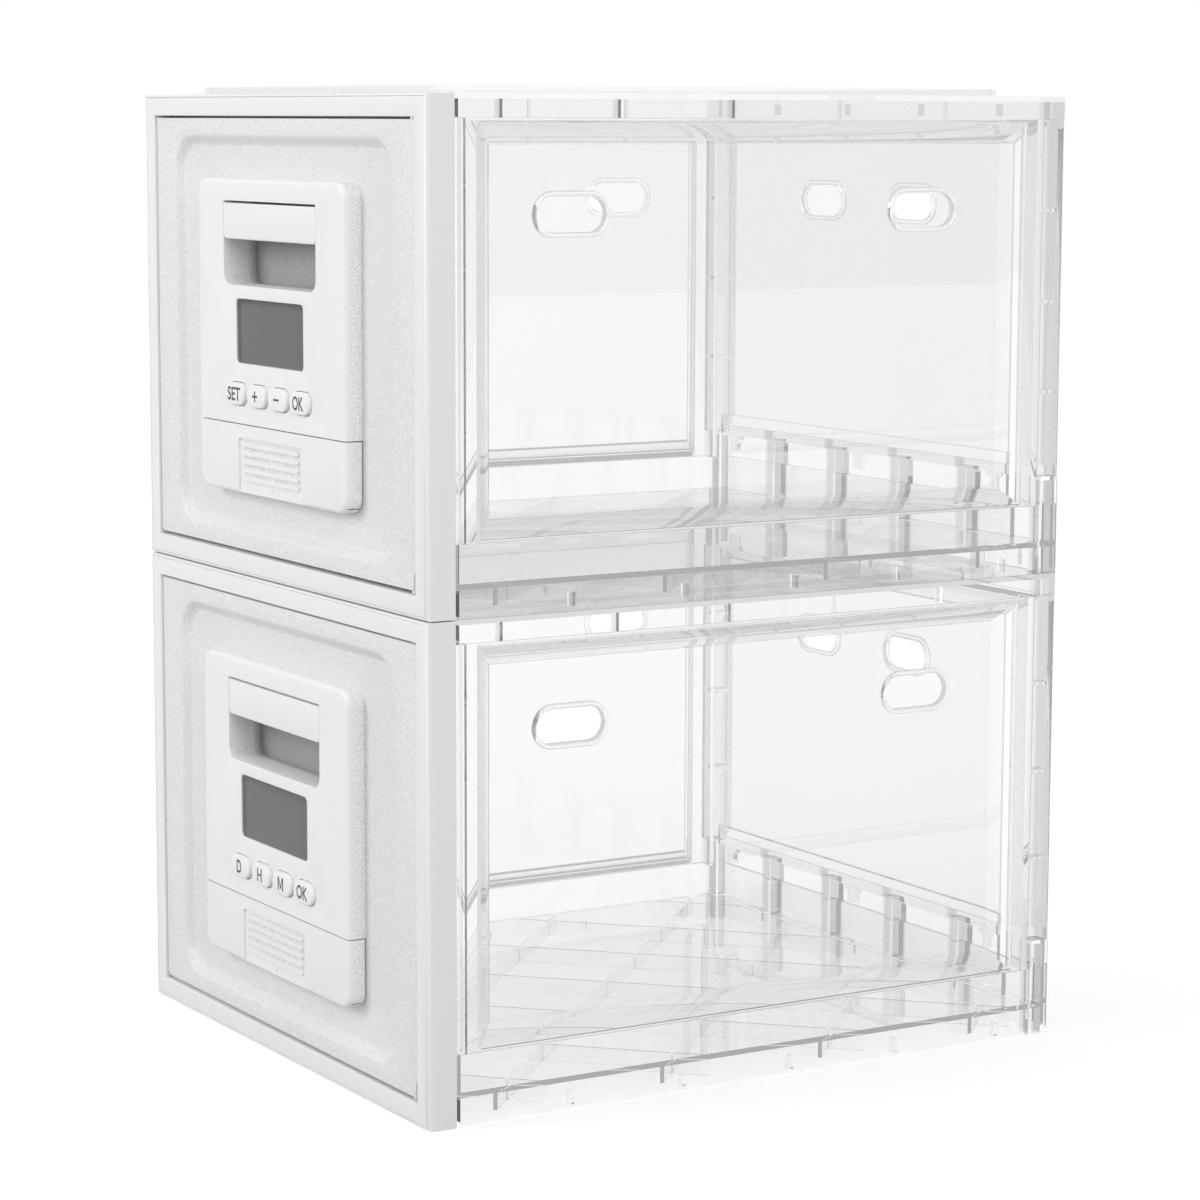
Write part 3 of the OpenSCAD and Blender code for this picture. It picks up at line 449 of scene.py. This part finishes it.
def metal(name, color, roughness):
    material, tree, shader = newMaterial(name)
    here = tree.nodes.new("ShaderNodeTexCoord").outputs["Object"]
    streak = node(tree, "ShaderNodeTexNoise", Vector=here, Scale=streaks["scale"],
                  Detail=streaks["detail"])
    spread = node(tree, "ShaderNodeMapRange", Value=streak.outputs["Fac"],
                  To_Min=roughness - streaks["spread"], To_Max=roughness + streaks["spread"])
    put(tree, shader.inputs["Roughness"], spread.outputs["Result"])
    shader.inputs["Base Color"].default_value = (*color, 1)
    shader.inputs["Metallic"].default_value = 1.0
    return material


# the module's front and its grip stay smooth, and its grain begins this far back
grainStart = (unit["moduleFace"] + 3 - unit["depthMiddle"]) * mm
finishes = {
    "frame_white": plastic("frame_white", (0.825, 0.81, 0.81), 2500, 0.004, 0.03),
    "door_white": plastic("door_white", (0.79, 0.775, 0.78), 1600, 0.15, 1.0),
    # the last number, 0.42, is the painted shade of the pocket: the share its back wall is darkened
    # to
    "module_white": plastic("module_white", (0.84, 0.825, 0.83), 1600, 0.2, 1.0, grainStart, 0.42),
    "button_white": plastic("button_white", (0.85, 0.84, 0.84), 2500, 0.003, 0.02),
    "clear_plastic": clearPlastic("clear_plastic", (0.965, 0.965, 0.965), (0.7, 0.7, 0.705), 0.72,
                                  where=postShade),
    "window_clear": clearPlastic("window_clear", (0.92, 0.93, 0.925), (0.85, 0.86, 0.855)),
    "display_grey": plastic("display_grey", (0.25, 0.28, 0.27), 3000, 0.01, 0.02),
    "rubber_grey": plastic("rubber_grey", (0.035, 0.035, 0.035), 2000, 0.02, 0.1),
    "board_green": plastic("board_green", (0.02, 0.16, 0.06), 800, 0.03, 0.05),
    "cell_wrap": plastic("cell_wrap", (0.06, 0.08, 0.12), 900, 0.02, 0.03),
    "guide_grey": plastic("guide_grey", (0.3, 0.3, 0.31), 2200, 0.01, 0.05),
    "motor_steel": metal("motor_steel", (0.55, 0.55, 0.56), 0.34),
    "steel": metal("steel", (0.62, 0.62, 0.63), 0.28),
}
# the module's white with its grain, darkened to about 0.91 of it: painted shade for the floor of
# the grip's hollow
roughShadedWhite = plastic("rough_shaded_white", (0.765, 0.752, 0.757), 1600, 0.2, 1.0)
thickClear = clearPlastic("thick_clear", (0.965, 0.965, 0.965), (0.88, 0.88, 0.885), 0.4,
                          where=ribShade)
slotOf = {row["node"]: row["material_slot"] for row in frame["record"]["subparts"]}
for name, obj in frame["nodes"].items():
    obj.data.materials.clear()
    obj.data.materials.append(thickClear if name.endswith("base_tray") else finishes[slotOf[name]])
print("materials", len(finishes))


door = {"face": 1.0, "floor": 4.8, "width": 212.0, "height": 174.0, "radius": 13.0, "rise": -4.6,
        "run": 1.2, "edge": 0.5, "lip": 0.3, "rings": 13, "corner": 12}


def addDoor(tier):
    # The CAD door with a soft dish: the way down is inset s, depth face + (floor - face) * e,
    # e = t t (3 - 2 t), t from 0 at the rise to 1 at the run.
    name = f"{tier}_door_panel"
    face, floor = door["face"], door["floor"]

    points, tris = shapeOf(name, tier)
    corners = points[tris]
    level = (abs(corners[..., 1] - face) < near) | (abs(corners[..., 1] - floor) < near)
    inside = (abs(corners[..., 0]) < door["width"] / 2 + 10 * near).all(1)
    flat = np.ptp(corners[..., 1], axis=1) < near
    tris, loops = cut(points, tris, level.all(1) & (inside | flat))
    rim, ring = softRim(points, loops[0], door["edge"])
    neck, hole = softRim(points, loops[1], door["lip"])
    dish = box(-door["width"] / 2, door["width"] / 2, unit["doorMiddle"] - door["height"] / 2,
               unit["doorMiddle"] + door["height"] / 2, door["radius"])
    t = np.linspace(0, 1, door["rings"])
    way = np.column_stack([door["rise"] + (door["run"] - door["rise"]) * t,
                           face + (floor - face) * t * t * (3 - 2 * t)])
    upper = outline(dish, door["rise"], door["corner"])[::-1]
    lower = outline(dish, door["run"], door["corner"])
    shaped(name, [(points, tris.tolist()), rim, neck, tube(dish, way, door["corner"]),
                  plate([ring, upper], face), plate([lower, hole], floor)], "door_white", tier)


mark = {"y": -2.9, "rise": 0.25, "sunk": 0.1, "z": 42.4, "radius": 0.06, "steps": 3,
        "shape": [(0, -1.2), (2, 0.9), (1.2, 0.9), (0, -0.35), (-1.2, 0.9), (-2, 0.9)]}


def slab(name, corners, front, back, finish, body, tier, steps=6):
    # the outline between two depths
    parts = [tube(corners, [(0, front), (0, back)], steps)]
    parts += [lid(corners, 0, y, steps) for y in (front, back)]
    return build(name, parts, finish, body, tier)


def stamp(name, corners, x, z, front, back, finish, body, tier):
    # flat shape with upright sides, its corners moved by x and z
    corners = [(u + x, v + z, mark["radius"]) for u, v in corners]
    return slab(name, corners, front, back, finish, body, tier, mark["steps"])


grip = {"half": 29.0, "bottom": 44.6, "top": 63.4, "radius": 1.5, "y": -2.9, "rise": 0.04,
        "sunk": 0.1}


def addGripFloor(tier):
    # rough skin on the floor of the cover's grip, which the ribs stand through; its colour is
    # darker than the module's, a painted shade in the grip's hollow
    corners = box(-grip["half"], grip["half"], grip["bottom"], grip["top"], grip["radius"])
    floor = slab(f"{tier}_grip_floor", corners, grip["y"] - grip["rise"], grip["y"] + grip["sunk"],
                 "module_white", frame["nodes"][f"{tier}_battery_cover"]["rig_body"], tier)
    floor.data.materials[0] = roughShadedWhite


def addMark(tier):
    # small arrow under the grip that says which way the cover slides
    body = frame["nodes"][f"{tier}_battery_cover"]["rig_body"]
    stamp(f"{tier}_cover_mark", mark["shape"], 0, mark["z"], mark["y"] - mark["rise"],
          mark["y"] + mark["sunk"], "module_white", body, tier)


panel = {"side": 142.0, "sideBead": 134.5, "back": 332.0, "backBead": 324.5, "edge": 0.5,
         "bead": 1.1, "rail": 320.5, "railTop": 50.2, "clear": 0.15}


def clearRail(piece, tier):
    # The rail's back is drawn a little in front of the tray's rear wall, because two clear faces
    # in one plane look black.
    flat = np.empty(len(piece.data.vertices) * 3)
    piece.data.vertices.foreach_get("co", flat)
    points = flat.reshape(-1, 3) / mm - shift(tier)
    touching = (abs(points[:, 1] - panel["rail"]) < near) & (points[:, 2] < panel["railTop"])
    points[touching, 1] -= panel["clear"]
    piece.data.vertices.foreach_set("co", toRow(points, tier).ravel())


for tier in tiers:
    softened(f"{tier}_front_frame", "frame_white", [(0.0, 0.6, True)])
    addDoor(tier)
    softened(f"{tier}_control_housing", "module_white", [(unit["moduleFace"], 0.35, False)])
    softened(f"{tier}_latch_paddle", "module_white", [(unit["moduleFace"], 0.6, True)])
    welded(f"{tier}_battery_cover", "module_white")
    # the rear cover lies behind the pocket, so it takes a finish with no shade at that depth
    welded(f"{tier}_rear_cover", "module_white").data.materials[0] = finishes["button_white"]
    addGripFloor(tier)
    addMark(tier)
    for side, quarters in (("left", 1), ("right", -1)):
        softened(f"{tier}_side_panel_{side}", "clear_plastic", [
            (-panel["sideBead"], panel["bead"], True),
            (-panel["side"], panel["edge"], True)], quarters)
    clearRail(softened(f"{tier}_back_panel", "clear_plastic", [
        (-panel["backBead"], panel["bead"], True), (-panel["back"], panel["edge"], True)], 2), tier)


keys = {"length": 18.5, "height": 10.0, "pitch": 21.9, "middle": 84.45, "front": -5.9,
        "dome": 0.25, "flat": 3.6, "shoulder": 1.2, "edge": 0.5, "skin": -1.7, "ledge": 1.2,
        "crease": 0.05, "ledgeRound": 0.15, "stem": 3.0, "back": 1.6,
        "letter": 6.1, "font": 1.38, "bold": 0.16, "narrow": 0.84, "ink": 0.06, "sunk": 0.02,
        "rows": {"lower": (("day", "D"), ("hour", "H"), ("minute", "M"), ("ok", "OK")),
                 "upper": (("set", "SET"), ("plus", "+"), ("minus", "\u2212"), ("ok", "OK"))}}


def addKey(tier, index, label):
    # Profile of the key: a low dome, inset flat - (flat - shoulder) t, depth front + dome t t, then
    # a rounded edge, the shaft, the ledge that keeps it in, and the stem.
    half, radius = keys["length"] / 2, keys["height"] / 2
    middle = (index - 1.5) * keys["pitch"]
    pill = box(middle - half, middle + half, keys["middle"] - radius, keys["middle"] + radius,
               radius)
    front, skin, ledge = keys["front"], keys["skin"], keys["ledge"]
    t = np.linspace(0, 1, 5)[:, None]
    dome = np.hstack([keys["flat"] - (keys["flat"] - keys["shoulder"]) * t,
                      front + keys["dome"] * t ** 2])
    side = rounded([(keys["shoulder"], front + keys["dome"], 0),
                    (0, front + keys["dome"] + 0.1, keys["edge"]), (0, skin, keys["crease"]),
                    (-ledge, skin, keys["ledgeRound"]), (-ledge, skin + ledge, keys["ledgeRound"]),
                    (keys["stem"], skin + ledge, keys["crease"]), (keys["stem"], keys["back"], 0)],
                   5, False)
    cap = build(f"{tier}_key_{label}_cap", [
        tube(pill, np.vstack([dome, side[1:]]), 9), lid(pill, keys["flat"], front, 9),
        lid(pill, keys["stem"], keys["back"], 9)], "button_white", f"{tier}_key_{label}", tier)
    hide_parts(f"{tier}_button_{label}")


strokes = {
    "+": [(-2.6, -0.5), (-0.6, -0.5), (-0.6, -2.4), (0.6, -2.4), (0.6, -0.5), (2.6, -0.5),
          (2.6, 0.5), (0.6, 0.5), (0.6, 2.4), (-0.6, 2.4), (-0.6, 0.5), (-2.6, 0.5)],
    "\u2212": [(-2.8, -0.5), (2.8, -0.5), (2.8, 0.5), (-2.8, 0.5)],
    "H": [(-2.3, -3), (-1.3, -3), (-1.3, -0.42), (1.3, -0.42), (1.3, -3), (2.3, -3), (2.3, 3),
          (1.3, 3), (1.3, 0.42), (-1.3, 0.42), (-1.3, 3), (-2.3, 3)],
    "M": [(-2.8, -3), (-1.75, -3), (-1.75, 1.2), (-0.45, -2.4), (0.45, -2.4), (1.75, 1.2),
          (1.75, -3), (2.8, -3), (2.8, 3), (1.6, 3), (0, -1.1), (-1.6, 3), (-2.8, 3)]}


def addLegend(tier, index, label, words):
    # letters as a thin print on the key's face
    name, body = f"{tier}_legend_{label}", f"{tier}_key_{label}"
    middle = (index - 1.5) * keys["pitch"]
    if words in strokes:
        face = keys["front"] + keys["sunk"]
        stamp(name, strokes[words], middle, keys["middle"], face - keys["ink"] / 2,
              face + keys["ink"] / 2, "rubber_grey", body, tier)
        return
    curve = bpy.data.curves.new("words", "FONT")
    curve.body = words
    curve.size = keys["letter"] * keys["font"]
    curve.extrude = keys["ink"] / 2
    curve.offset = keys["bold"]
    curve.align_x = "CENTER"
    text = bpy.data.objects.new("words", curve)
    mesh = bpy.data.meshes.new_from_object(text)
    bpy.data.objects.remove(text)
    flat = np.empty(len(mesh.vertices) * 3)
    mesh.vertices.foreach_get("co", flat)
    flat = flat.reshape(-1, 3)
    centre = (flat.min(0) + flat.max(0)) / 2
    wide = keys["narrow"] if len(words) < 3 else 1
    upright = np.column_stack([(flat[:, 0] - centre[0]) * wide + middle,
                               keys["front"] - flat[:, 2] + keys["sunk"],
                               flat[:, 1] - centre[1] + keys["middle"]])
    mesh.vertices.foreach_set("co", toRow(upright, tier).ravel())
    place(name, mesh, "rubber_grey", body)


for tier in tiers:
    for index, (label, words) in enumerate(keys["rows"][tier]):
        addKey(tier, index, label)
        addLegend(tier, index, label, words)


view = {"place": (1.4355, -0.8576, 0.4302), "yaw": 58.949, "pitch": 7.776, "roll": 0.181,
        "lens": 106.2, "sensor": 36.0}


def addCamera():
    yaw, pitch, roll = (math.radians(view[k]) for k in ("yaw", "pitch", "roll"))
    ahead = Vector((-math.sin(yaw) * math.cos(pitch), math.cos(yaw) * math.cos(pitch),
                    -math.sin(pitch)))
    right = Vector((math.cos(yaw), math.sin(yaw), 0))
    up = right.cross(ahead)
    side = right * math.cos(roll) + up * math.sin(roll)
    top = up * math.cos(roll) - right * math.sin(roll)
    data = bpy.data.cameras.new("camera")
    data.lens = view["lens"]
    data.sensor_width = view["sensor"]
    camera = bpy.data.objects.new("camera", data)
    turn = Matrix((side, top, -ahead)).transposed().to_4x4()
    camera.matrix_world = Matrix.Translation(view["place"]) @ turn
    bpy.context.scene.collection.objects.link(camera)
    bpy.context.scene.camera = camera


def seenRay(tree):
    # one where a camera, glossy or transmission ray asks, so gloss and glass see the white too
    path = tree.nodes.new("ShaderNodeLightPath").outputs
    return calc(tree, "MAXIMUM", path["Is Transmission Ray"],
                calc(tree, "MAXIMUM", path["Is Camera Ray"], path["Is Glossy Ray"]))


light = {"ambient": 0.58, "floorSize": 12.0, "floorFar": 0.79, "floorNear": 0.19,
         "floorColor": 0.5, "floorRoughness": 0.9, "aim": (0, 0, 0.22),
         "lamps": (("key", (-0.7, -2.0, 1.15), 1.2, 22), ("fill", (2.4, -0.6, 1.5), 1.6, 28))}


def addWorld():
    world = bpy.data.worlds.new("studio")
    bpy.context.scene.world = world
    world.use_nodes = True
    tree = world.node_tree
    dim = tree.nodes["Background"]
    dim.inputs["Color"].default_value = (1, 1, 1, 1)
    dim.inputs["Strength"].default_value = light["ambient"]
    bright = node(tree, "ShaderNodeBackground", Color=(1, 1, 1, 1), Strength=1.0)
    put(tree, tree.nodes["World Output"].inputs["Surface"],
        mixed(tree, seenRay(tree), dim, bright).outputs[0])


def addLamp(name, place, size, power):
    data = bpy.data.lights.new(name, "AREA")
    data.shape = "SQUARE"
    data.size = size
    data.energy = power
    lamp = bpy.data.objects.new(name, data)
    lamp.location = place
    toAim = Vector(light["aim"]) - Vector(place)
    lamp.rotation_euler = toAim.to_track_quat("-Z", "Y").to_euler()
    bpy.context.scene.collection.objects.link(lamp)


def addFloor():
    # Its glow is far - near / (1 + distance), so that the lit floor is an even white.
    half = light["floorSize"] / 2
    mesh = bpy.data.meshes.new("floor")
    mesh.from_pydata([(-half, -half, 0), (half, -half, 0), (half, half, 0), (-half, half, 0)],
                     [], [(0, 1, 2, 3)])
    floor = bpy.data.objects.new("floor", mesh)
    bpy.context.scene.collection.objects.link(floor)
    material, tree, shader = newMaterial("floor_white")
    shader.inputs["Base Color"].default_value = (*[light["floorColor"]] * 3, 1)
    shader.inputs["Roughness"].default_value = light["floorRoughness"]
    shader.inputs["Specular IOR Level"].default_value = 0.0
    distance = tree.nodes.new("ShaderNodeVectorMath")
    distance.operation = "LENGTH"
    put(tree, distance.inputs[0], tree.nodes.new("ShaderNodeTexCoord").outputs["Object"])
    fall = calc(tree, "DIVIDE", light["floorNear"],
                calc(tree, "ADD", distance.outputs["Value"], 1.0))
    glow = node(tree, "ShaderNodeEmission",
                Strength=calc(tree, "SUBTRACT", light["floorFar"], fall))
    both = tree.nodes.new("ShaderNodeAddShader")
    put(tree, both.inputs[0], shader.outputs[0])
    put(tree, both.inputs[1], glow.outputs[0])
    put(tree, tree.nodes["Material Output"].inputs["Surface"],
        mixed(tree, seenRay(tree), shader, both).outputs[0])
    mesh.materials.append(material)


bpy.context.scene.view_settings.view_transform = "Standard"
addCamera()
addWorld()
for lamp in light["lamps"]:
    addLamp(*lamp)
addFloor()
print("stage set")
